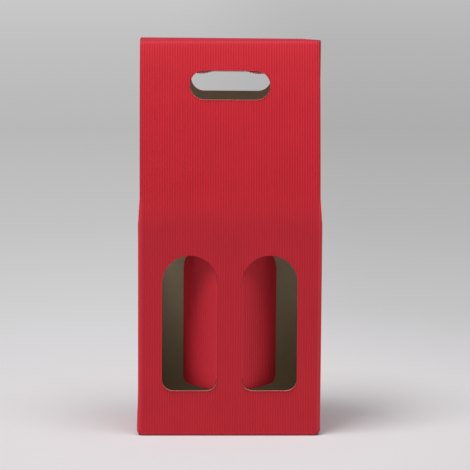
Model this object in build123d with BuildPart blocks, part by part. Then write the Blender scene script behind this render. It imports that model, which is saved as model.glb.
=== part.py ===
from build123d import *
import os
from math import atan2, cos, degrees, hypot, radians, sin

os.makedirs("parts", exist_ok=True)

# Bottle box folded from one sheet of open corrugated board: a smooth kraft liner on the
# inside and one bare layer of flutes on the outside. Front, ridge and back are one strip:
# its flutes run up the front and down the back, and the ridge between is crushed flat.
# Millimetres, +Z up, front towards -Y, origin at the middle of the base.

# Board
liner_thickness = 0.4
flute_height = 0.8
flute_pitch = 2.4
crushed_height = 0.45

# Lower box
body_width = 174.8
body_depth = 91.2
corner_radius = 3.6
side_wall_height = 200.0
side_wall_sweep = 20.0
base_crease_height = 2.4
base_crease_radius = 1.6

# Leaning panels, bent at the shoulder and slightly bowed above it, and the ridge between them
panel_width = 170.4
bow_start_height = 200.0
shoulder_radius = 150.0
shoulder_lean = 8.5
shoulder_bands = 2
ridge_height = 376.0
ridge_width = 7.0
panel_bands = 4

# Windows in the front wall and the flaps cut from them
window_width = 52.5
window_height = 130.8
window_sill_height = 44.4
window_corner_radius = 10.5
centre_bar_width = 23.2
window_flap_angle = 52.0

# Handle slots and the flaps cut from them
slot_width = 75.8
slot_height = 27.8
slot_drop = 30.0
handle_flap_front_angle = 100.0
handle_flap_back_angle = 62.0

# Cut all round each flap, and along its crease
kerf = 0.35

# Bottom flaps and glue tabs
base_seam_gap = 0.6
base_seam_offset = 8.0
base_tongue_width = 62.0
base_tongue_slant = 7.0
base_tongue_length = 40.0
base_side_flap_length = 60.0
base_side_flap_shoulder = 8.0
base_side_flap_taper = 14.0
glue_tab_width = 14.0
glue_tab_margin = 5.0
glue_tab_taper = 8.0

# Worked out from the values above
board_thickness = liner_thickness + flute_height
crushed_thickness = liner_thickness + crushed_height
half_width = body_width / 2
half_depth = body_depth / 2
inner_half_width = half_width - board_thickness
inner_half_depth = half_depth - board_thickness
inner_corner_radius = corner_radius - board_thickness
window_centre_x = (centre_bar_width + window_width) / 2
panel_flutes = round(panel_width / flute_pitch)

# The inner face of a panel leaves the wall upright, follows the shoulder's arc and then a
# wider one that ends at the inner corner of the ridge.
shoulder_end_y = shoulder_radius * (1 - cos(radians(shoulder_lean))) - inner_half_depth
shoulder_end_z = bow_start_height + shoulder_radius * sin(radians(shoulder_lean))
panel_inset = -ridge_width / 2 - shoulder_end_y
panel_rise = ridge_height - crushed_thickness - shoulder_end_z
chord_lean = degrees(atan2(panel_inset, panel_rise))
ridge_lean = 2 * chord_lean - shoulder_lean
panel_radius = hypot(panel_inset, panel_rise) / (2 * sin(radians(ridge_lean - chord_lean)))
outer_panel_radius = panel_radius + board_thickness


def flute_line(count, valley, crest):
    """Zigzag of a row of flutes along X, centred, from valley to valley."""
    start = -count * flute_pitch / 2
    points = [(start, valley)]
    for flute in range(count):
        points.append((start + (flute + 0.5) * flute_pitch, crest))
        points.append((start + (flute + 1) * flute_pitch, valley))
    return points


def board_section(count):
    """Outline of a flat strip of board: liner face on the X axis, flutes above it."""
    half_length = count * flute_pitch / 2
    flutes = flute_line(count, liner_thickness, board_thickness)
    return [(-half_length, 0), *flutes, (half_length, 0)]


def flutes_between(length):
    """Whole flutes that fit on a straight wall of this length."""
    return int(length / flute_pitch + 1e-6)


def bow_point(offset, lean):
    """Point (y, z) of the front panel where it leans by this many degrees, offset outwards."""
    if lean <= shoulder_lean:
        radius = shoulder_radius
        start_lean = 0
        start_y, start_z = -inner_half_depth, bow_start_height
    else:
        radius = panel_radius
        start_lean = radians(shoulder_lean)
        start_y, start_z = shoulder_end_y, shoulder_end_z
    across = start_y + radius * cos(start_lean) - (radius + offset) * cos(radians(lean))
    up = start_z - radius * sin(start_lean) + (radius + offset) * sin(radians(lean))
    return across, up


def window_outline(inset):
    """Window shape, drawn from the middle of its sill: full arch above, round corners below."""
    half_opening = window_width / 2 - inset
    corner = window_corner_radius - inset
    spring_height = window_height - window_width / 2
    with BuildSketch() as outline:
        with BuildLine():
            Line((half_opening, spring_height), (half_opening, inset + corner))
            RadiusArc((half_opening, inset + corner), (half_opening - corner, inset), corner)
            Line((half_opening - corner, inset), (corner - half_opening, inset))
            RadiusArc((corner - half_opening, inset), (-half_opening, inset + corner), corner)
            Line((-half_opening, inset + corner), (-half_opening, spring_height))
            ThreePointArc(
                (-half_opening, spring_height),
                (0, spring_height + half_opening),
                (half_opening, spring_height),
            )
        make_face()
    return outline.sketch


# Lean of the panel at the upper rim and the middle of the handle slot, by length along the arc
slot_top_lean = ridge_lean - degrees(slot_drop / outer_panel_radius)
slot_lean = ridge_lean - degrees((slot_drop + slot_height / 2) / outer_panel_radius)
slot_centre_y, slot_centre_z = bow_point(board_thickness, slot_lean)

# The whole carton is one folded sheet. The walls carry upright flutes that are crushed at the
# corner folds, and the side walls sweep up to the edges of the bowed panels.
front_flutes = flutes_between(body_width - 2 * corner_radius)
side_flutes = flutes_between(body_depth - 2 * corner_radius)
wall_top = side_wall_height + side_wall_sweep

with BuildPart() as walls:
    with BuildSketch(Plane.XY.offset(base_crease_height)):
        with BuildLine():
            front_line = flute_line(front_flutes, flute_height - half_depth, -half_depth)
            side_line = flute_line(side_flutes, flute_height - half_width, -half_width)
            right_line = [(-y, x) for x, y in side_line]
            back_line = [(-x, -y) for x, y in front_line]
            left_line = [(y, -x) for x, y in side_line]
            fold_x = half_width - corner_radius
            fold_y = half_depth - corner_radius
            Polyline((-fold_x, -half_depth), *front_line, (fold_x, -half_depth))
            RadiusArc((fold_x, -half_depth), (half_width, -fold_y), -corner_radius)
            Polyline((half_width, -fold_y), *right_line, (half_width, fold_y))
            RadiusArc((half_width, fold_y), (fold_x, half_depth), -corner_radius)
            Polyline((fold_x, half_depth), *back_line, (-fold_x, half_depth))
            RadiusArc((-fold_x, half_depth), (-half_width, fold_y), -corner_radius)
            Polyline((-half_width, fold_y), *left_line, (-half_width, -fold_y))
            RadiusArc((-half_width, -fold_y), (-fold_x, -half_depth), -corner_radius)
        make_face()
        RectangleRounded(
            2 * inner_half_width, 2 * inner_half_depth, inner_corner_radius, mode=Mode.SUBTRACT
        )
    extrude(amount=wall_top - base_crease_height)

    # Front and back walls stop where the bowed panels start
    front_wall_width = front_flutes * flute_pitch
    with BuildSketch(Plane.XY.offset(bow_start_height)):
        Rectangle(front_wall_width, 2 * body_depth)
    extrude(amount=wall_top - bow_start_height + 1, mode=Mode.SUBTRACT)

    # Side walls end in a cut edge that sweeps up to each panel
    with BuildSketch(Plane.YZ):
        with BuildLine():
            sweep_start = half_depth - side_wall_sweep
            Line((-sweep_start, side_wall_height), (sweep_start, side_wall_height))
            RadiusArc((sweep_start, side_wall_height), (half_depth, wall_top), -side_wall_sweep)
            Polyline((half_depth, wall_top), (half_depth, wall_top + 1), (-half_depth, wall_top + 1))
            Line((-half_depth, wall_top + 1), (-half_depth, wall_top))
            RadiusArc((-half_depth, wall_top), (-sweep_start, side_wall_height), -side_wall_sweep)
        make_face()
    extrude(amount=body_width, both=True, mode=Mode.SUBTRACT)

    # Windows
    with BuildSketch(Plane.XZ.offset(inner_half_depth - 1)):
        with Locations((-window_centre_x, window_sill_height), (window_centre_x, window_sill_height)):
            add(window_outline(0))
    extrude(amount=board_thickness + 2, mode=Mode.SUBTRACT)

with BuildPart() as bow:
    # Front panel: the strip's section carried round the shoulder and bow in straight bands
    section = board_section(panel_flutes)
    shoulder_step = shoulder_lean / shoulder_bands
    panel_step = (ridge_lean - shoulder_lean) / panel_bands
    band_leans = [shoulder_step * band for band in range(shoulder_bands)]
    band_leans += [shoulder_lean + panel_step * band for band in range(panel_bands + 1)]
    for band_lean in band_leans:
        face_y, face_z = bow_point(0, band_lean)
        along_panel = (0, sin(radians(band_lean)), cos(radians(band_lean)))
        with BuildSketch(Plane(origin=(0, face_y, face_z), x_dir=(1, 0, 0), z_dir=along_panel)):
            with BuildLine():
                Polyline([(x, -v) for x, v in section], close=True)
            make_face()
    loft(ruled=True)

    # Front handle slot
    slot_plane = Plane(
        origin=(0, slot_centre_y, slot_centre_z),
        x_dir=(1, 0, 0),
        z_dir=(0, -cos(radians(slot_lean)), sin(radians(slot_lean))),
    )
    with BuildSketch(slot_plane):
        SlotOverall(slot_width, slot_height)
    extrude(amount=2 * board_thickness, both=True, mode=Mode.SUBTRACT)

    # Half of the ridge strip, crushed flat behind its crease
    ridge_corner = bow_point(0, ridge_lean)
    crease_start = bow_point(crushed_thickness, ridge_lean)
    crease_end = (ridge_corner[0], ridge_corner[1] + crushed_thickness)
    with BuildSketch(Plane.YZ):
        with BuildLine():
            Line(ridge_corner, crease_start)
            RadiusArc(crease_start, crease_end, crushed_thickness)
            Polyline(crease_end, (0, crease_end[1]), (0, ridge_corner[1]), ridge_corner)
        make_face()
    extrude(amount=panel_flutes * flute_pitch / 2, both=True)

# Closed bottom: the front and back flaps meet on a stepped seam below, and the side flaps
# and the front flap's tongue lie on them inside.
crush_inset = flute_height - crushed_height
base_inset = 2 * crush_inset
side_seam_x = inner_half_width - base_seam_gap
tongue_x = base_tongue_width / 2
shoulder_x = tongue_x + base_tongue_slant

with BuildPart() as base:
    with BuildSketch():
        RectangleRounded(body_width - base_inset, body_depth - base_inset, corner_radius - crush_inset)
    extrude(amount=base_crease_height)
    fillet(base.edges().group_by(Axis.Z)[0], radius=base_crease_radius)
    with BuildSketch(Plane.XY.offset(board_thickness)):
        RectangleRounded(2 * inner_half_width, 2 * inner_half_depth, inner_corner_radius)
    extrude(amount=base_crease_height, mode=Mode.SUBTRACT)

    # Seams: one across, stepped round the tongue, and one along each side wall
    with BuildSketch():
        with BuildLine():
            Polyline(
                (-side_seam_x, -base_seam_offset),
                (-shoulder_x, -base_seam_offset),
                (-tongue_x, base_seam_offset),
                (tongue_x, base_seam_offset),
                (shoulder_x, -base_seam_offset),
                (side_seam_x, -base_seam_offset),
            )
        trace(line_width=base_seam_gap)
        with Locations((-side_seam_x, 0), (side_seam_x, 0)):
            Rectangle(base_seam_gap, 2 * (half_depth - base_crease_height))
    extrude(amount=board_thickness, mode=Mode.SUBTRACT)

    # Side flaps and tongue, one board up
    root_y = inner_half_depth
    tip_x = inner_half_width - base_side_flap_length
    shoulder_start = inner_half_width - base_side_flap_shoulder
    tip_y = root_y - base_side_flap_taper
    with BuildSketch(Plane.XY.offset(board_thickness)):
        Polygon(
            (inner_half_width, -root_y),
            (inner_half_width, root_y),
            (shoulder_start, root_y),
            (tip_x, tip_y),
            (tip_x, -tip_y),
            (shoulder_start, -root_y),
            align=None,
        )
        mirror(about=Plane.YZ)
        Rectangle(base_tongue_width, base_tongue_length)
    extrude(amount=board_thickness)

# Glue tabs: each side wall's rear edge is folded in and glued behind the back panel
with BuildPart() as glue_tabs:
    tab_top = side_wall_height - glue_tab_margin
    tab_bottom = 2 * board_thickness + glue_tab_margin
    with BuildSketch(Plane.XZ.offset(-inner_half_depth)):
        Polygon(
            (inner_half_width, tab_bottom),
            (inner_half_width, tab_top),
            (inner_half_width - glue_tab_width, tab_top - glue_tab_taper),
            (inner_half_width - glue_tab_width, tab_bottom + glue_tab_taper),
            align=None,
        )
        mirror(about=Plane.YZ)
    extrude(amount=board_thickness)

with BuildPart() as carton:
    add(walls.part)
    add(bow.part)
    mirror(bow.part, about=Plane.XZ)
    add(base.part)
    add(glue_tabs.part)

carton.part.label = "carton"
export_step(carton.part, "parts/carton.step")

# Window flaps: each is the piece of front wall cut from its window, turned inwards about a
# crease on the side of the centre bar.
hinge_x = centre_bar_width / 2
swing_x = cos(radians(window_flap_angle))
swing_y = sin(radians(window_flap_angle))
flap_height = window_sill_height + window_height
wall_section = board_section(front_flutes)

with BuildPart() as window_flap_right:
    hinge = (hinge_x, -inner_half_depth, window_sill_height)
    along = (swing_x, swing_y, 0)
    with BuildSketch(Plane(origin=hinge, x_dir=along, z_dir=(0, 0, 1))):
        with BuildLine():
            Polyline([(x - hinge_x, -v) for x, v in wall_section], close=True)
        make_face()
    extrude(amount=flap_height)
    with BuildSketch(Plane(origin=hinge, x_dir=along, z_dir=(swing_y, -swing_x, 0))):
        with Locations((window_width / 2, 0)):
            add(window_outline(kerf))
    extrude(amount=board_thickness, mode=Mode.INTERSECT)

with BuildPart() as window_flap_left:
    mirror(window_flap_right.part, about=Plane.YZ)

window_flap_right.part.label = "window_flap_right"
export_step(window_flap_right.part, "parts/window_flap_right.step")
window_flap_left.part.label = "window_flap_left"
export_step(window_flap_left.part, "parts/window_flap_left.step")


def handle_flap(hinge_offset, angle):
    """Flap cut from the front panel's handle slot, turned by angle, inwards if positive."""
    hinge_y, hinge_z = bow_point(hinge_offset, slot_top_lean)
    turned = radians(angle - slot_lean)
    down = (0, sin(turned), -cos(turned))
    outward = (0, -cos(turned), -sin(turned))
    origin = (0, hinge_y, hinge_z)
    with BuildPart() as flap:
        with BuildSketch(Plane(origin=origin, x_dir=(1, 0, 0), z_dir=down)):
            with BuildLine():
                Polyline([(x, v - hinge_offset) for x, v in section], close=True)
            make_face()
        extrude(amount=slot_height)
        with BuildSketch(Plane(origin=origin, x_dir=(1, 0, 0), z_dir=outward)):
            with Locations((0, -slot_height / 2)):
                SlotOverall(slot_width - 2 * kerf, slot_height - 2 * kerf)
        extrude(amount=2 * board_thickness, both=True, mode=Mode.INTERSECT)
    return flap.part


# Handle flaps: both are pushed to the back. The front one creases on its liner face and lies
# between the panels, the back one creases on its flutes and stands out behind.
with BuildPart() as handle_flap_front:
    add(handle_flap(0, handle_flap_front_angle))

with BuildPart() as handle_flap_back:
    mirror(handle_flap(board_thickness, -handle_flap_back_angle), about=Plane.XZ)

handle_flap_front.part.label = "handle_flap_front"
export_step(handle_flap_front.part, "parts/handle_flap_front.step")
handle_flap_back.part.label = "handle_flap_back"
export_step(handle_flap_back.part, "parts/handle_flap_back.step")
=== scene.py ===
from math import atan2, cos, degrees, hypot, pi, radians, sin, tan

import bmesh
import bpy
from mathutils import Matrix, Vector, noise


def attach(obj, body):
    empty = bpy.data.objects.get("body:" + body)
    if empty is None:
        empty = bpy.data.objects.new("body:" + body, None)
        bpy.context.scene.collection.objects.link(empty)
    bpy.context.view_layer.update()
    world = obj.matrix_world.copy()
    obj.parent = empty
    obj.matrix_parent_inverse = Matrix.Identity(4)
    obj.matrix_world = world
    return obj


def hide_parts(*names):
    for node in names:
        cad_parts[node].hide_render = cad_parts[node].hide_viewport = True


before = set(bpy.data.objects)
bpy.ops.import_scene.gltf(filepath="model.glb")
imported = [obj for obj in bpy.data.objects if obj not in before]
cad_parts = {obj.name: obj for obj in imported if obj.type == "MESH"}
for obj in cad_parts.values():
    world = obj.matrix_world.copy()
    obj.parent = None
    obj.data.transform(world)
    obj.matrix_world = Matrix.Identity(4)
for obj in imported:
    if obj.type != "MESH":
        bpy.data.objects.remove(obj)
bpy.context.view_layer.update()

# Front panel and side walls, die-cut from one sheet of open corrugated board: a kraft liner
# inside and dyed fluting paper outside, glued along its valleys. A strip runs up the front and
# over the ridge. The side walls hang on its edges, and their rear tabs are glued to the back.
liner_thickness = 0.3
fluting_thickness = 0.16
glued_depth = 0.02
board_thickness = 1.2
flute_pitch = 2.4
flute_unevenness = 0.05
unevenness_per_flute = 3.7
unevenness_per_mm = 0.012
flute_roundness = 0.85
columns_per_flute = 6
liner_step = 7.1
sharpest_soft_fold = 62
FLUTING, CUT, LINER = 0, 1, 2


def flute_columns(first, last):
    """Column positions of the fluting between two places, six to a flute."""
    step = flute_pitch / columns_per_flute
    return [first + step * i for i in range(round((last - first) / step) + 1)]


def even_steps(first, last, step):
    """Places from first up to but not with last, about a step apart."""
    count = max(1, round((last - first) / step))
    return [first + (last - first) * i / count for i in range(count)]


def ease(value, low, high):
    """0 below low, 1 above high, smooth between."""
    t = min(max((value - low) / (high - low), 0.0), 1.0)
    return t * t * (3 - 2 * t)


def flute_rise(across, along, crush):
    """Height of the fluting's outer face above the liner. Each flute is a little different."""
    phase = 2 * pi * across / flute_pitch
    flute = round(across / flute_pitch)
    place = Vector((flute * unevenness_per_flute, along * unevenness_per_mm, 1.5))
    own = 1 + flute_unevenness * noise.noise(place)
    full = (board_thickness - liner_thickness - fluting_thickness) * own
    arch = (0.5 + 0.5 * cos(phase)) ** flute_roundness
    return fluting_thickness + full * arch * crush


def laid_sheet(columns, rows, face_height, thickness, kind):
    """Sheet of paper laid flat in millimetres, X across the flutes, Y along them and Z out of
    the box, with its outer face at face_height(across, along)."""
    sheet = bmesh.new()
    wide, high = len(columns) - 1, len(rows) - 1
    bmesh.ops.create_grid(sheet, x_segments=wide, y_segments=high, size=0.5)
    for vert in sheet.verts:
        across = columns[round((vert.co.x + 0.5) * wide)]
        along = rows[round((vert.co.y + 0.5) * high)]
        vert.co = (across, along, face_height(across, along))
    bmesh.ops.solidify(sheet, geom=sheet.faces[:], thickness=thickness)
    bmesh.ops.recalc_face_normals(sheet, faces=sheet.faces[:])
    for face in sheet.faces:
        face.material_index = kind
    return sheet


def die(outline, rounds=(), low=-2.0, high=4.0, kind=CUT):
    """Cutting die: a prism through the board. rounds gives corners by number, with a radius.
    The edges that it cuts are of the given kind."""
    blade = bmesh.new()
    corners = [blade.verts.new((x, y, low)) for x, y in outline]
    blade.faces.new(corners)
    for number, radius in rounds:
        bmesh.ops.bevel(
            blade, geom=[corners[number]], offset=radius, offset_type="OFFSET",
            affect="VERTICES", segments=16, profile=0.5, material=-1,
        )
    grown = bmesh.ops.extrude_face_region(blade, geom=blade.faces[:])
    tops = [item for item in grown["geom"] if isinstance(item, bmesh.types.BMVert)]
    bmesh.ops.translate(blade, verts=tops, vec=(0, 0, high - low))
    bmesh.ops.recalc_face_normals(blade, faces=blade.faces[:])
    for face in blade.faces:
        face.material_index = kind
    return blade


def box_outline(left, right, bottom, top):
    """Corners of a rectangle, counter-clockwise from the lower left."""
    return [(left, bottom), (right, bottom), (right, top), (left, top)]


def joined(parts):
    """Several bmeshes as one. The parts are used up."""
    whole = bmesh.new()
    for part in parts:
        holder = bpy.data.meshes.new("joined")
        part.to_mesh(holder)
        part.free()
        whole.from_mesh(holder)
        bpy.data.meshes.remove(holder)
    return whole


def stamped(sheet, blade, keep="DIFFERENCE"):
    """The sheet with the die's shape cut out of it, or with only that shape kept."""
    holders = []
    for part in (sheet, blade):
        mesh = bpy.data.meshes.new("stamped")
        part.to_mesh(mesh)
        part.free()
        for stock in board_papers:
            mesh.materials.append(stock)
        holder = bpy.data.objects.new("stamped", mesh)
        bpy.context.scene.collection.objects.link(holder)
        holders.append(holder)
    press = holders[0].modifiers.new("press", "BOOLEAN")
    press.operation = keep
    press.solver = "EXACT"
    press.object = holders[1]
    graph = bpy.context.evaluated_depsgraph_get()
    result_mesh = bpy.data.meshes.new_from_object(holders[0].evaluated_get(graph))
    result = bmesh.new()
    result.from_mesh(result_mesh)
    for holder in holders:
        mesh = holder.data
        bpy.data.objects.remove(holder)
        bpy.data.meshes.remove(mesh)
    bpy.data.meshes.remove(result_mesh)
    return result


def travel(place, heading, path, distance):
    """Place and heading in degrees after a distance on a path of (length, turn) stretches."""
    x, y = place
    for length, turn in path:
        step = min(distance, length)
        bend = radians(turn) * step / length
        chord = step if abs(bend) < 1e-6 else 2 * step / bend * sin(bend / 2)
        course = radians(heading) + bend / 2
        x += chord * cos(course)
        y += chord * sin(course)
        heading += turn * step / length
        distance -= step
        if distance <= 0:
            break
    return x, y, heading


def folded(name, blank, fold, crush, first_flute=0.0, shade_on_ridge=None):
    """Finished piece from a flat blank. Its flat place, how much of the flutes' height is left
    there and how much painted shade the ridge gets, are kept as UV maps for the papers."""
    flat = blank.loops.layers.uv.new("flat")
    fluted = blank.loops.layers.uv.new("fluted")
    for face in blank.faces:
        for loop in face.loops:
            across, along, _ = loop.vert.co
            loop[flat].uv = ((across + first_flute) / 100, along / 100)
            loop[fluted].uv = (crush(across, along), shade_on_ridge(along) if shade_on_ridge else 0)
    for vert in blank.verts:
        vert.co = fold(*vert.co) * 0.001
    for face in blank.faces:
        face.smooth = True
    for edge in blank.edges:
        edge.smooth = edge.is_manifold and edge.calc_face_angle(0) < radians(sharpest_soft_fold)
    mesh = bpy.data.meshes.new(name)
    blank.to_mesh(mesh)
    blank.free()
    for stock in board_papers:
        mesh.materials.append(stock)
    piece = bpy.data.objects.new(name, mesh)
    bpy.context.scene.collection.objects.link(piece)
    return piece


def paper_grain():
    """Node group: cloudy paper tone, fine fibres and their height, from flat board places."""
    group = bpy.data.node_groups.new("paper_grain", "ShaderNodeTree")
    socket = group.interface.new_socket
    socket(name="Vector", in_out="INPUT", socket_type="NodeSocketVector")
    for name, value in (("Cloud Scale", 2.0), ("Fibre Scale", 60.0), ("Fibre Stretch", 0.25)):
        knob = socket(name=name, in_out="INPUT", socket_type="NodeSocketFloat")
        knob.default_value = value
    socket(name="Cloud", in_out="OUTPUT", socket_type="NodeSocketFloat")
    socket(name="Fibre", in_out="OUTPUT", socket_type="NodeSocketFloat")
    nodes, link = group.nodes, group.links.new
    given = nodes.new("NodeGroupInput")
    put = nodes.new("NodeGroupOutput")
    cloud = nodes.new("ShaderNodeTexNoise")
    cloud.inputs["Detail"].default_value = 3.0
    cloud.inputs["Roughness"].default_value = 0.6
    link(given.outputs["Vector"], cloud.inputs["Vector"])
    link(given.outputs["Cloud Scale"], cloud.inputs["Scale"])
    stretch = nodes.new("ShaderNodeCombineXYZ")
    stretch.inputs["X"].default_value = 1.0
    stretch.inputs["Z"].default_value = 1.0
    link(given.outputs["Fibre Stretch"], stretch.inputs["Y"])
    drawn = nodes.new("ShaderNodeVectorMath")
    drawn.operation = "MULTIPLY"
    link(given.outputs["Vector"], drawn.inputs[0])
    link(stretch.outputs["Vector"], drawn.inputs[1])
    fibre = nodes.new("ShaderNodeTexNoise")
    fibre.inputs["Detail"].default_value = 4.0
    fibre.inputs["Roughness"].default_value = 0.7
    link(drawn.outputs["Vector"], fibre.inputs["Vector"])
    link(given.outputs["Fibre Scale"], fibre.inputs["Scale"])
    link(cloud.outputs["Fac"], put.inputs["Cloud"])
    link(fibre.outputs["Fac"], put.inputs["Fibre"])
    return group


def flute_shade():
    """Node group: how deep in a valley between two flutes a point lies, 0 where they are
    crushed flat, how far they are crushed, and how much painted shade the ridge gets."""
    group = bpy.data.node_groups.new("flute_shade", "ShaderNodeTree")
    socket = group.interface.new_socket
    socket(name="Flat", in_out="INPUT", socket_type="NodeSocketVector")
    socket(name="Fluted", in_out="INPUT", socket_type="NodeSocketVector")
    socket(name="Valley", in_out="OUTPUT", socket_type="NodeSocketFloat")
    socket(name="Crushed", in_out="OUTPUT", socket_type="NodeSocketFloat")
    socket(name="Ridge Shade", in_out="OUTPUT", socket_type="NodeSocketFloat")
    nodes, link = group.nodes, group.links.new
    given = nodes.new("NodeGroupInput")
    put = nodes.new("NodeGroupOutput")

    def maths(operation, first, second=None, third=None):
        node = nodes.new("ShaderNodeMath")
        node.operation = operation
        for number, value in enumerate((first, second, third)):
            if isinstance(value, float):
                node.inputs[number].default_value = value
            elif value is not None:
                link(value, node.inputs[number])
        return node.outputs["Value"]

    flat = nodes.new("ShaderNodeSeparateXYZ")
    link(given.outputs["Flat"], flat.inputs["Vector"])
    fluted = nodes.new("ShaderNodeSeparateXYZ")
    link(given.outputs["Fluted"], fluted.inputs["Vector"])
    wave = maths("COSINE", maths("MULTIPLY", flat.outputs["X"], 2 * pi * 100 / flute_pitch))
    valley = maths("POWER", maths("MULTIPLY_ADD", wave, -0.5, 0.5), 1.6)
    link(maths("MULTIPLY", valley, fluted.outputs["X"]), put.inputs["Valley"])
    link(maths("SUBTRACT", 1.0, fluted.outputs["X"]), put.inputs["Crushed"])
    link(fluted.outputs["Y"], put.inputs["Ridge Shade"])
    return group


grain = paper_grain()
shade = flute_shade()
cloud_share = 0.55
fibre_share = 0.45
bump_strength = 0.5
# Painted shade in the valleys between flutes, darkest where they lie deepest.
valley_shade_tone = (0.26, 0.006, 0.012)
# Lighter tone where the flutes are crushed: partly real scuffing, partly a painted sheen.
scuff_and_sheen_tone = (0.80, 0.055, 0.085)
# Painted shade on the ridge strip, which faces up into the light.
ridge_shade_tone = (0.36, 0.014, 0.030)
fluting_painted_shade_and_scuffs = (
    ("Valley", 0.3, valley_shade_tone),
    ("Crushed", 0.3, scuff_and_sheen_tone),
    ("Ridge Shade", 0.9, ridge_shade_tone),
)


def paper(name, deep, light, rough, fibre_scale, bump_height, tints_for_shade_and_scuffs=()):
    """Uncoated paper: two tones mixed by its cloudiness and fibres, with a fibre bump. On the
    fluting, painted shade darkens its valleys and its ridge, and a lighter tone, partly scuffing
    and partly a painted sheen, marks where it is crushed."""
    material = bpy.data.materials.new(name)
    material.use_nodes = True
    nodes, link = material.node_tree.nodes, material.node_tree.links.new
    shader = nodes["Principled BSDF"]
    shader.inputs["Roughness"].default_value = rough
    shader.inputs["Specular IOR Level"].default_value = 0.3
    place = nodes.new("ShaderNodeUVMap")
    place.uv_map = "flat"
    fibres = nodes.new("ShaderNodeGroup")
    fibres.node_tree = grain
    fibres.inputs["Cloud Scale"].default_value = 3.0
    fibres.inputs["Fibre Scale"].default_value = fibre_scale
    link(place.outputs["UV"], fibres.inputs["Vector"])
    level = nodes.new("ShaderNodeMath")
    level.operation = "MULTIPLY_ADD"
    level.inputs[1].default_value = cloud_share
    link(fibres.outputs["Cloud"], level.inputs[0])
    fibre_level = nodes.new("ShaderNodeMath")
    fibre_level.operation = "MULTIPLY"
    fibre_level.inputs[1].default_value = fibre_share
    link(fibres.outputs["Fibre"], fibre_level.inputs[0])
    link(fibre_level.outputs[0], level.inputs[2])
    tone = nodes.new("ShaderNodeMix")
    tone.data_type = "RGBA"
    tone.inputs[6].default_value = (*deep, 1)
    tone.inputs[7].default_value = (*light, 1)
    link(level.outputs[0], tone.inputs["Factor"])
    colour = tone.outputs[2]
    if tints_for_shade_and_scuffs:
        left = nodes.new("ShaderNodeUVMap")
        left.uv_map = "fluted"
        depth = nodes.new("ShaderNodeGroup")
        depth.node_tree = shade
        link(place.outputs["UV"], depth.inputs["Flat"])
        link(left.outputs["UV"], depth.inputs["Fluted"])
        # Painted shade in the valleys and on the ridge, and the lighter crushed tone, each mixed in by
        # its mask.
        for mask, strength, other in tints_for_shade_and_scuffs:
            share = nodes.new("ShaderNodeMath")
            share.operation = "MULTIPLY"
            share.inputs[1].default_value = strength
            link(depth.outputs[mask], share.inputs[0])
            blend = nodes.new("ShaderNodeMix")
            blend.data_type = "RGBA"
            blend.inputs[7].default_value = (*other, 1)
            link(share.outputs[0], blend.inputs["Factor"])
            link(colour, blend.inputs[6])
            colour = blend.outputs[2]
    link(colour, shader.inputs["Base Color"])
    bump = nodes.new("ShaderNodeBump")
    bump.inputs["Distance"].default_value = bump_height
    bump.inputs["Strength"].default_value = bump_strength
    link(fibres.outputs["Fibre"], bump.inputs["Height"])
    link(bump.outputs["Normal"], shader.inputs["Normal"])
    return material


board_papers = [
    paper(
        "red_fluting_paper", (0.53, 0.0125, 0.0250), (0.69, 0.0180, 0.0362), 0.62, 90.0, 0.00006,
        fluting_painted_shade_and_scuffs,
    ),
    paper("cut_board_edge", (0.55, 0.13, 0.11), (0.74, 0.29, 0.23), 0.85, 160.0, 0.0001),
    paper("kraft_liner", (0.34, 0.275, 0.175), (0.48, 0.395, 0.262), 0.78, 70.0, 0.00005),
]

panel_half_width = 85.2
inner_half_depth = 44.4
front_crease_height = 1.7
side_crease_height = 5.0
bow_start = 200.0
shoulder_radius = 150.0
shoulder_lean = 8.5
ridge_height = 376.0
ridge_width = 7.0
crushed_thickness = 0.85
ridge_crease_radius = 0.3
panel_inset = inner_half_depth - ridge_width / 2 - shoulder_radius * (1 - cos(radians(shoulder_lean)))
panel_rise = ridge_height - crushed_thickness - bow_start - shoulder_radius * sin(radians(shoulder_lean))
panel_chord_lean = degrees(atan2(panel_inset, panel_rise))
ridge_lean = 2 * panel_chord_lean - shoulder_lean
half_bow = radians(ridge_lean - panel_chord_lean)
shoulder_length = radians(shoulder_lean) * shoulder_radius
panel_length = hypot(panel_inset, panel_rise) * half_bow / sin(half_bow)
ridge_crease_trim = ridge_crease_radius * tan(radians(90 - ridge_lean) / 2)
ridge_crease_length = ridge_crease_radius * radians(90 - ridge_lean)
ridge_crease = bow_start + shoulder_length + panel_length - ridge_crease_trim
ridge_end = ridge_crease + ridge_crease_length + ridge_width / 2 - ridge_crease_trim
strip_path = [
    (bow_start - front_crease_height, 0),
    (shoulder_length, -shoulder_lean),
    (panel_length - ridge_crease_trim, shoulder_lean - ridge_lean),
    (ridge_crease_length, ridge_lean - 90),
    (20, 0),
]
front_flap_path = [(0.785, 90), (70, 0)]
side_flap_path = [(6.28, 100), (4.6, 0), (1.5, -10), (70, 0)]
corner_start = 83.8
corner_length = 3.77
side_wall_length = 82.8
side_wall_start = corner_start + corner_length
rear_corner_start = side_wall_start + side_wall_length
blank_half_width = 188.4
corner_relief = 0.3
window_centre = 37.85
window_half_width = 26.25
window_sill = 44.4
window_top = 175.2
window_arch_radius = 26.2
window_corner_radius = 10.5
slot_drop = 29.95
slot_half_width = 37.9
slot_half_height = 13.9
slot_centre = bow_start + shoulder_length + panel_length - slot_drop - slot_half_height
front_crease_drop = -2.5
ridge_slope = 0.0095
ridge_corner_droop = 1.1
body_lean = 0.0062
lean_height = 190.0
foot_flare = 1.1
foot_flare_height = 45.0


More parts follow.
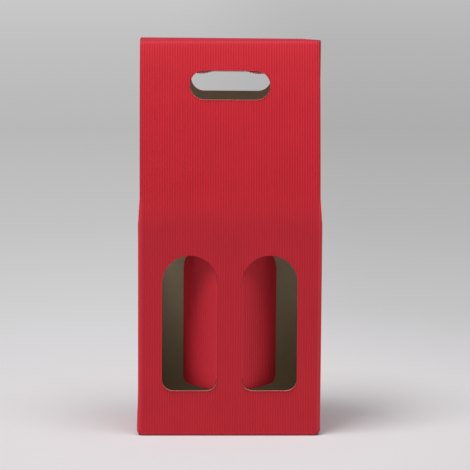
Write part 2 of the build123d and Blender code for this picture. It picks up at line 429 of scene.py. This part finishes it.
def settled(x, y, z):
    """Place on the box as it stands: leaning a little to the left lower down and flared at
    its foot there, with the rear crease of the ridge higher at its left end and drooping at
    its right corner, and the front crease level and lower."""
    droop = -ridge_slope * x - ridge_corner_droop * ease(x, 65, 88)
    forward = min(max(0.5 - y / ridge_width, 0), 1)
    tilt = (front_crease_drop - droop) * forward * ease(z, 347, 374.5)
    flare = foot_flare * ease(-x, 70, 87) * (1 - ease(z, 4, foot_flare_height))
    lean = body_lean * max(lean_height - z, 0)
    return Vector((x - lean - flare, y, z + droop * ease(z, 205, ridge_height) + tilt))


def side_profile(along, out, crease_height, flap_path):
    """Inward distance and height of a point of a wall or of the bottom flap below it."""
    if along >= crease_height:
        climb = along - front_crease_height
        inward, height, heading = travel((0, front_crease_height), 90, strip_path, climb)
        facing = radians(heading + 90)
    else:
        inward, height, heading = travel((0, crease_height), 270, flap_path, crease_height - along)
        facing = radians(heading - 90)
    return inward + out * cos(facing), height + out * sin(facing)


edge_curls = {1: (1.5, 2.8), -1: (0.8, 1.9)}
corner_blend = 1.8


def front_fold(across, along, out):
    """Folds a flat point of the front blank into its place on the box, in millimetres. Above
    the side walls the corners are unfolded, and the panel's free edges curl in a little."""
    side = 1 if across > 0 else -1
    reach = abs(across)
    curl, curl_width = edge_curls[side]
    edge_share = ease(reach, panel_half_width - curl_width, panel_half_width + 0.2)
    out -= curl * edge_share * ease(along, 222, 232)
    inward, height = side_profile(along, out, front_crease_height, front_flap_path)
    if reach > corner_start - corner_blend:
        share = ease(reach, corner_start - corner_blend, corner_start)
        side_inward, side_height = side_profile(along, out, side_crease_height, side_flap_path)
        inward += share * (side_inward - inward)
        height += share * (side_height - height)
    unroll = 1 - ease(along, 206, 229) * (reach < 120)
    plan = [
        (corner_start, 0), (corner_length, 90 * unroll), (side_wall_length, 0),
        (corner_length, 90), (30, 0),
    ]
    x, y, heading = travel((0, -inner_half_depth), 0, plan, reach)
    facing = radians(heading - 90)
    x -= inward * cos(facing)
    y -= inward * sin(facing)
    return settled(side * x, y, height)


def near(value, place, width):
    """1 on a crease, falling to 0 a width away from it."""
    return 1 - ease(abs(value - place), width * 0.35, width)


corner_crush = 0.93
rear_crush = 0.9
base_crush = 0.55
ridge_crush = 0.5
strip_crush = 0.45
lower_pressing = 0.55


def front_crush(across, along):
    """How much of the flutes' height is left: less on creases and corner folds."""
    reach = abs(across)
    off_corner = abs(reach - (corner_start + corner_length / 2))
    corner = 1 - ease(off_corner, 1.6, 2.9) if along < 226 else 0
    rear = near(reach, rear_corner_start + corner_length / 2, 3.0)
    base = near(along, 1.1, 2.6)
    ridge = near(along, ridge_crease + 0.2, 2.2)
    strip = strip_crush * ease(along, ridge_crease, ridge_crease + 1.0)
    corners = max(corner_crush * corner, rear_crush * rear)
    return 1 - max(corners, base_crush * base, ridge_crush * ridge, strip)


def front_rise(across, along):
    """Height of the front's fluting above its liner. The flutes stand a little lower below."""
    pressed = 1 - lower_pressing * (1 - ease(along, 192, 252))
    return flute_rise(across, along, front_crush(across, along) * pressed)


strip_rows = [
    *even_steps(-52, -6, 9),
    -6, -3.5, -1.5, -0.7, 0, 0.9, 1.1, 1.3, 1.5, 1.7, 2.3, 3.1, 4, 5, 6,
    *even_steps(9, bow_start, 11.2),
    *even_steps(bow_start, 224, 4.8),
    *even_steps(224, ridge_crease - 2.5, 9.5),
    *[ridge_crease + step for step in (-2.5, -1.2, -0.5, 0, 0.11, 0.22, 0.333, 0.8, 1.8)],
    ridge_end,
]
front_rows = [-62, *strip_rows]


def ridge_shade_share(along):
    """How much painted shade the fluting gets: only on the ridge, where it was pressed flat."""
    return ease(along, ridge_crease - 0.3, ridge_crease + 0.7)


front_columns = flute_columns(-blank_half_width, blank_half_width)
liner_columns = [
    *even_steps(-blank_half_width, -175, 6.6), *even_steps(-175, -169.5, 0.5),
    *even_steps(-169.5, -88, 8),
    *even_steps(-88, -81.5, 0.5), *even_steps(-81.5, 81.5, liner_step), *even_steps(81.5, 88, 0.5),
    *even_steps(88, 169.5, 8), *even_steps(169.5, 175, 0.5), *even_steps(175, blank_half_width, 6.6),
    blank_half_width,
]


def window_shape(side, lower=0.0):
    """Outline and corner rounding of one window, full arch above and small corners below."""
    left, right = sorted((
        side * (window_centre - window_half_width), side * (window_centre + window_half_width)
    ))
    outline = box_outline(left, right, window_sill - lower, window_top - lower)
    corner, arch = window_corner_radius, window_arch_radius
    return outline, [(0, corner), (1, corner), (2, arch), (3, arch)]


def slot_shape(lower=0.0, rise=0.0, gap=0.0):
    """Outline and rounding of a handle slot whose lower edge is raised, shrunk by a gap."""
    low, high = slot_centre - slot_half_height + rise + gap, slot_centre + slot_half_height - gap
    half_width = slot_half_width - gap
    return box_outline(-half_width, half_width, low - lower, high - lower), [
        (number, (high - low) / 2 - 0.02) for number in range(4)
    ]


def cut_lip(shape):
    """Raw edge of the board along the lower rim of an opening, a sliver that catches light."""
    return stamped(die(*shape(lower=0.4), low=0.02, high=1.17), die(*shape()))


def front_dies():
    """Dies that cut the front blank: windows, handle slot, side wall tops and bottom flaps."""
    blades = [die(*window_shape(-1)), die(*window_shape(1)), die(*slot_shape())]
    for side in (-1, 1):
        top = [
            (panel_half_width, 400), (panel_half_width, 229), (88.4, 200), (170.2, 200),
            (171.6, 218), (174.0, 195), (188.0, 187), (191, 187), (191, 400),
        ]
        blades.append(die([(side * x, y) for x, y in top], [(2, 12), (3, 17)]))
    half = [
        (37.7, -34.6), (83.4, -34.6), (83.4, corner_relief), (87.9, corner_relief), (88.2, -6),
        (99, -58), (159.2, -58), (170.0, -6), (170.3, corner_relief), (174.2, corner_relief),
        (174.2, 7.4), (188.0, 15.4), (191, 15.4), (191, -80),
    ]
    front_seam = [(-30.7, -50.6), (30.7, -50.6)]
    blades.append(die([(-x, y) for x, y in reversed(half)] + front_seam + half))
    return joined(blades)


front_fluting = laid_sheet(
    front_columns, front_rows,
    lambda across, along: liner_thickness - glued_depth + front_rise(across, along),
    fluting_thickness, FLUTING,
)
front_lining = laid_sheet(
    liner_columns, front_rows, lambda across, along: liner_thickness, liner_thickness, LINER
)
front_blank = joined([
    stamped(front_fluting, front_dies()),
    stamped(front_lining, front_dies()),
    cut_lip(lambda lower=0.0: window_shape(-1, lower)),
    cut_lip(lambda lower=0.0: window_shape(1, lower)),
    cut_lip(slot_shape),
])
front = folded("front_and_sides", front_blank, front_fold, front_crush, shade_on_ridge=ridge_shade_share)
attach(front, "carton")
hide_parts("carton")

# Back panel. The other half of the strip: ridge, bow, back wall and the back bottom flap. Its
# free side edges lie over the side walls' tabs, and its handle slot is cut a little smaller.
back_slot_rise = 2.4
back_shift = 0.9
back_flute_shift = 900


def back_fold(across, along, out):
    """Folds a flat point of the back blank into its place, half a turn round from the front.
    Above the shoulder it has slipped a little to the right."""
    inward, height = side_profile(along, out, front_crease_height, front_flap_path)
    slip = back_shift * ease(height, 210, 330) * ease(inner_half_depth - inward, 0, 5)
    return settled(-across + slip, inner_half_depth - inward, height)


def back_crush(across, along):
    """How much of the flutes' height is left on the back strip."""
    base = near(along, 1.1, 2.6)
    ridge = near(along, ridge_crease + 0.2, 2.2)
    strip = strip_crush * ease(along, ridge_crease, ridge_crease + 1.0)
    return 1 - max(base_crush * base, ridge_crush * ridge, strip)


def back_slot_shape(lower=0.0):
    """The back slot reaches less far down than the front one."""
    return slot_shape(lower, back_slot_rise)


def back_dies():
    """Dies for the back blank: handle slot and bottom flap, notched for the front's tongue."""
    flap_edge = [
        (-90, 0.8), (-84.6, 0.8), (-84.6, -50.6), (-38.3, -50.6), (-31.3, -34.6),
        (31.3, -34.6), (38.3, -50.6), (84.6, -50.6), (84.6, 0.8), (90, 0.8), (90, -80), (-90, -80),
    ]
    return joined([die(*back_slot_shape()), die(flap_edge)])


back_fluting = laid_sheet(
    flute_columns(-panel_half_width, panel_half_width), strip_rows,
    lambda across, along: liner_thickness - glued_depth + flute_rise(
        across, along + back_flute_shift, back_crush(across, along)
    ),
    fluting_thickness, FLUTING,
)
back_lining = laid_sheet(
    [*even_steps(-panel_half_width, panel_half_width, liner_step), panel_half_width], strip_rows,
    lambda across, along: liner_thickness, liner_thickness, LINER,
)
back_blank = joined([
    stamped(back_fluting, back_dies()),
    stamped(back_lining, back_dies()),
    cut_lip(back_slot_shape),
])
back = folded("back_panel", back_blank, back_fold, back_crush, shade_on_ridge=ridge_shade_share)
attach(back, "carton")
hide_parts("carton")

# Bottom tongue. The end of the front bottom flap, pushed up through the seam to lie on the
# back flap inside the box.
tongue_root = 7.7
tongue_length = 24.0
tongue_top = 2.45
tongue_sheet_half_width = 27.6


def tongue_fold(across, along, out):
    """Lays the tongue one board up, rising from the seam at its root. Its liner faces up."""
    dip = board_thickness * (1 - ease(along, 0, 3))
    return settled(-across, tongue_root + along, tongue_top - dip - out)


tongue_rows = [0, 1, 2, 3, *even_steps(4, tongue_length, 5), tongue_length]
tongue_shape = [(-27, 0), (27, 0), (23, tongue_length), (-23, tongue_length)]
tongue_rounds = [(2, 8), (3, 8)]
tongue_fluting = laid_sheet(
    flute_columns(-tongue_sheet_half_width, tongue_sheet_half_width), tongue_rows,
    lambda across, along: liner_thickness - glued_depth + flute_rise(across, along, 1.0),
    fluting_thickness, FLUTING,
)
tongue_lining = laid_sheet(
    [-tongue_sheet_half_width, 0, tongue_sheet_half_width], tongue_rows,
    lambda across, along: liner_thickness, liner_thickness, LINER,
)
tongue_blank = joined([
    stamped(tongue_fluting, die(tongue_shape, tongue_rounds), "INTERSECT"),
    stamped(tongue_lining, die(tongue_shape, tongue_rounds), "INTERSECT"),
])
tongue = folded("bottom_tongue", tongue_blank, tongue_fold, lambda across, along: 1.0)
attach(tongue, "carton")
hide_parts("carton")

# Window flaps. Each is the piece of front cut from its window, still joined along the centre
# bar by a crease and pushed inwards by the bottle's side.
flap_hinge = 11.6
flap_hinge_angle = 30.0
flap_curl = 44.0
flap_gap = 0.42
flap_corner_radius = 10.2
flap_arch_radius = 25.8
flap_flutes_left = 0.6
crease_reach = 1.25
crease_cover_height = 0.82


def window_flap(name, side):
    """One window flap: its hinge line is at X 0 of its blank, and it curls into the box. A
    narrow strip of fluting paper covers the crease."""

    def fold(across, along, out):
        reach = side * across
        hinge = (flap_hinge, -inner_half_depth)
        x, y, heading = travel(hinge, flap_hinge_angle, [(3, 0), (50, flap_curl)], max(reach, 0))
        if reach < 0:
            heading *= max(1 + reach / crease_reach, -0.6)
        turned = radians(heading)
        return settled(side * (x + out * sin(turned)), y - out * cos(turned), along)

    def crush(across, along):
        return flap_flutes_left * (1 - 0.35 * (1 - ease(side * across, 0.4, 2.6)))

    rows = [*even_steps(window_sill - 2, window_top + 2, 8), window_top + 2]
    columns = sorted(side * place for place in flute_columns(-2.4, 55.2))
    flutes = laid_sheet(
        columns, rows,
        lambda across, along: liner_thickness - glued_depth + flute_rise(
            across + side * flap_hinge, along, crush(across, along)
        ),
        fluting_thickness, FLUTING,
    )
    lining = laid_sheet(
        sorted(side * place for place in (-2.4, 0, 1, 2.5, 4, *range(8, 51, 6), 55.2)), rows,
        lambda across, along: liner_thickness, liner_thickness, LINER,
    )
    wide = 2 * window_half_width - flap_gap
    low, high = window_sill + flap_gap, window_top - flap_gap
    edges = sorted((side * flap_gap, side * wide))
    outline = box_outline(edges[0], edges[1], low, high)
    corner, arch = flap_corner_radius, flap_arch_radius
    rounds = [(0, corner), (1, corner), (2, arch), (3, arch)]
    crease_cover = laid_sheet(
        sorted(side * place for place in (-1.25, -1, -0.75, -0.5, -0.25, 0, 0.5, 1.2, 2)),
        [low + 10.5, 100, high - 26],
        lambda across, along: crease_cover_height, fluting_thickness, FLUTING,
    )
    blank = joined([
        stamped(flutes, die(outline, rounds, kind=FLUTING), "INTERSECT"),
        stamped(lining, die(outline, rounds, kind=FLUTING), "INTERSECT"),
        crease_cover,
    ])
    return folded(name, blank, fold, crush, side * flap_hinge)


for side, body in ((-1, "window_flap_left"), (1, "window_flap_right")):
    flap = window_flap(body + "_board", side)
    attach(flap, body)
    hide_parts(body)

# Handle flaps. Each is cut from its handle slot and stays joined along the slot's top edge.
# Both are pushed to the rear: the front one lies between the panels, the back one stands out.
handle_front_angle = 100.0
handle_back_angle = 62.0
knife_gap = 0.35
flap_warp = 0.8
warp_half_width = 38.0
end_curl = 6.0
slot_top = slot_centre + slot_half_height
slot_bow = slot_half_height / panel_length * (ridge_lean - shoulder_lean)


def handle_flap(name, turn, is_back):
    """One handle flap, turned inwards by a positive angle about the slot's top edge. Its ends
    are warped a little."""
    hinge_inward, hinge_height, heading = travel(
        (0, front_crease_height), 90, strip_path, slot_top - front_crease_height
    )
    hinge_out = 0.0 if turn > 0 else board_thickness
    facing = radians(heading + 90)
    hinge_inward += hinge_out * cos(facing)
    hinge_height += hinge_out * sin(facing)

    def fold(across, along, out):
        down = slot_top - along
        drop = radians(heading - 180 + slot_bow)
        curl = 0.0
        if turn > 0:
            curl = radians(end_curl) * ease(abs(across), 12, 28)
        angle = drop + radians(turn) - curl
        if down < 0:
            angle = drop + radians(turn) * (1 + down / crease_reach)
            down = 0
        rise = out - hinge_out - flap_warp * (across / warp_half_width) ** 2 * ease(down, 2, 20)
        inward = hinge_inward + down * cos(angle) + rise * cos(angle - pi / 2)
        height = hinge_height + down * sin(angle) + rise * sin(angle - pi / 2)
        if is_back:
            return settled(back_shift - across, inner_half_depth - inward, height)
        return settled(across, inward - inner_half_depth, height)

    def crush(across, along):
        return 1 - 0.6 * near(along, slot_top, 2.4)

    rows = [*even_steps(slot_top - 2 * slot_half_height - 1, slot_top + 1, 3), slot_top + 1]
    flutes = laid_sheet(
        flute_columns(-39.6, 39.6), rows,
        lambda across, along: liner_thickness - glued_depth + flute_rise(
            across, along, crush(across, along)
        ),
        fluting_thickness, FLUTING,
    )
    lining = laid_sheet(
        [*even_steps(-39.6, 39.6, 3.6), 39.6], rows,
        lambda across, along: liner_thickness, liner_thickness, LINER,
    )
    outline, rounds = slot_shape(0.0, back_slot_rise if is_back else 0.0, knife_gap)
    blank = joined([
        stamped(flutes, die(outline, rounds, kind=FLUTING), "INTERSECT"),
        stamped(lining, die(outline, rounds, kind=FLUTING), "INTERSECT"),
    ])
    return folded(name, blank, fold, crush)


for body, turn, is_back in (
    ("handle_flap_front", handle_front_angle, False),
    ("handle_flap_back", -handle_back_angle, True),
):
    flap = handle_flap(body + "_board", turn, is_back)
    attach(flap, body)
    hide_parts(body)

# Floor: one large sheet of pale paper. Close to the box it takes light and shadow, and further
# off it glows, for camera rays only, with painted light and shade of the studio behind: grey
# bands by distance, lighter on the left and darker on the right.
sweep = bmesh.new()
bmesh.ops.create_grid(sweep, x_segments=2, y_segments=2, size=8.0)
floor_mesh = bpy.data.meshes.new("floor_sheet")
sweep.to_mesh(floor_mesh)
sweep.free()
floor = bpy.data.objects.new("floor_sheet", floor_mesh)
bpy.context.scene.collection.objects.link(floor)
floor_paper = bpy.data.materials.new("pale_floor_paper")
floor_paper.use_nodes = True
floor_nodes = floor_paper.node_tree.nodes
floor_link = floor_paper.node_tree.links.new
floor_shader = floor_nodes["Principled BSDF"]
floor_shader.inputs["Base Color"].default_value = (0.565, 0.550, 0.565, 1)
floor_shader.inputs["Roughness"].default_value = 0.9
floor_shader.inputs["Specular IOR Level"].default_value = 0.2
floor_place = floor_nodes.new("ShaderNodeTexCoord")
floor_reach = floor_nodes.new("ShaderNodeVectorMath")
floor_reach.operation = "LENGTH"
floor_link(floor_place.outputs["Object"], floor_reach.inputs[0])
floor_far = floor_nodes.new("ShaderNodeMapRange")
floor_far.interpolation_type = "SMOOTHSTEP"
floor_far.inputs["From Min"].default_value = 0.16
floor_far.inputs["From Max"].default_value = 0.60
floor_link(floor_reach.outputs["Value"], floor_far.inputs["Value"])
floor_step = floor_nodes.new("ShaderNodeMath")
floor_step.operation = "DIVIDE"
floor_step.inputs[1].default_value = 4.0
floor_link(floor_reach.outputs["Value"], floor_step.inputs[0])
# Painted light and shade of the studio behind, as grey bands by distance.
floor_tones = floor_nodes.new("ShaderNodeValToRGB")
floor_tones.color_ramp.elements[0].position = 0.02
floor_tones.color_ramp.elements[0].color = (0.62, 0.61, 0.62, 1)
floor_tones.color_ramp.elements[1].position = 1.0
floor_tones.color_ramp.elements[1].color = (0.58, 0.58, 0.585, 1)
for position, tone in ((0.11, 0.64), (0.27, 0.53), (0.47, 0.47), (0.75, 0.52)):
    stop = floor_tones.color_ramp.elements.new(position)
    stop.color = (tone, tone * 0.99, tone * 1.005, 1)
floor_link(floor_step.outputs["Value"], floor_tones.inputs["Fac"])
floor_axes = floor_nodes.new("ShaderNodeSeparateXYZ")
floor_link(floor_place.outputs["Object"], floor_axes.inputs["Vector"])
# Painted light and shade across the far floor: brighter on the left, darker on the right.
floor_side_shading = floor_nodes.new("ShaderNodeMapRange")
floor_side_shading.interpolation_type = "SMOOTHSTEP"
floor_side_shading.inputs["From Min"].default_value = -0.15
floor_side_shading.inputs["From Max"].default_value = 0.20
floor_side_shading.inputs["To Min"].default_value = 1.03
floor_side_shading.inputs["To Max"].default_value = 0.90
floor_link(floor_axes.outputs["X"], floor_side_shading.inputs["Value"])
floor_glow = floor_nodes.new("ShaderNodeEmission")
floor_link(floor_tones.outputs["Color"], floor_glow.inputs["Color"])
floor_link(floor_side_shading.outputs["Result"], floor_glow.inputs["Strength"])
floor_rays = floor_nodes.new("ShaderNodeLightPath")
floor_seen = floor_nodes.new("ShaderNodeMath")
floor_seen.operation = "MULTIPLY"
floor_link(floor_rays.outputs["Is Camera Ray"], floor_seen.inputs[0])
floor_link(floor_far.outputs["Result"], floor_seen.inputs[1])
floor_mix = floor_nodes.new("ShaderNodeMixShader")
floor_link(floor_seen.outputs["Value"], floor_mix.inputs["Fac"])
floor_link(floor_shader.outputs["BSDF"], floor_mix.inputs[1])
floor_link(floor_glow.outputs["Emission"], floor_mix.inputs[2])
floor_link(floor_mix.outputs["Shader"], floor_nodes["Material Output"].inputs["Surface"])
floor.data.materials.append(floor_paper)

# Lamps: a broad soft one high on the left in front, a weaker one on the right, and an even
# pale surround.
for name, place, size, power in (
    ("left_lamp", (-1.67, -1.45, 6.0), 2.67, 337.0),
    ("right_lamp", (1.42, -1.20, 6.0), 2.67, 158.0),
):
    lamp = bpy.data.lights.new(name, "AREA")
    lamp.shape = "SQUARE"
    lamp.size = size
    lamp.energy = power
    holder = bpy.data.objects.new(name, lamp)
    bpy.context.scene.collection.objects.link(holder)
    holder.location = place
    aim = Vector((0, 0, 0.2)) - Vector(place)
    holder.rotation_euler = aim.to_track_quat("-Z", "Y").to_euler()
surround = bpy.data.worlds.new("surround")
surround.use_nodes = True
surround_nodes = surround.node_tree.nodes
surround_link = surround.node_tree.links.new
even_light = surround_nodes["Background"]
even_light.inputs["Color"].default_value = (1.0, 0.995, 0.985, 1)
even_light.inputs["Strength"].default_value = 0.205
grey_seen = surround_nodes.new("ShaderNodeBackground")
grey_seen.inputs["Color"].default_value = (0.56, 0.56, 0.565, 1)
surround_rays = surround_nodes.new("ShaderNodeLightPath")
surround_mix = surround_nodes.new("ShaderNodeMixShader")
surround_link(surround_rays.outputs["Is Camera Ray"], surround_mix.inputs["Fac"])
surround_link(even_light.outputs["Background"], surround_mix.inputs[1])
surround_link(grey_seen.outputs["Background"], surround_mix.inputs[2])
surround_link(surround_mix.outputs["Shader"], surround_nodes["World Output"].inputs["Surface"])
bpy.context.scene.world = surround
bpy.context.scene.view_settings.view_transform = "Standard"

# Camera: a long lens from a little above, straight at the front and far enough off to hide the
# box's sides.
camera_distance = 2.821
camera_elevation = radians(10.9)
aim_point = Vector((0.0046, 0, 0.1865))
camera_data = bpy.data.cameras.new("camera")
camera_data.lens = 225.6
camera_data.sensor_width = 36.0
camera_data.clip_end = 20.0
camera = bpy.data.objects.new("camera", camera_data)
bpy.context.scene.collection.objects.link(camera)
camera_direction = Vector((0, -cos(camera_elevation), sin(camera_elevation)))
camera.location = aim_point + camera_distance * camera_direction
camera.rotation_euler = (aim_point - camera.location).to_track_quat("-Z", "Y").to_euler()
bpy.context.scene.camera = camera
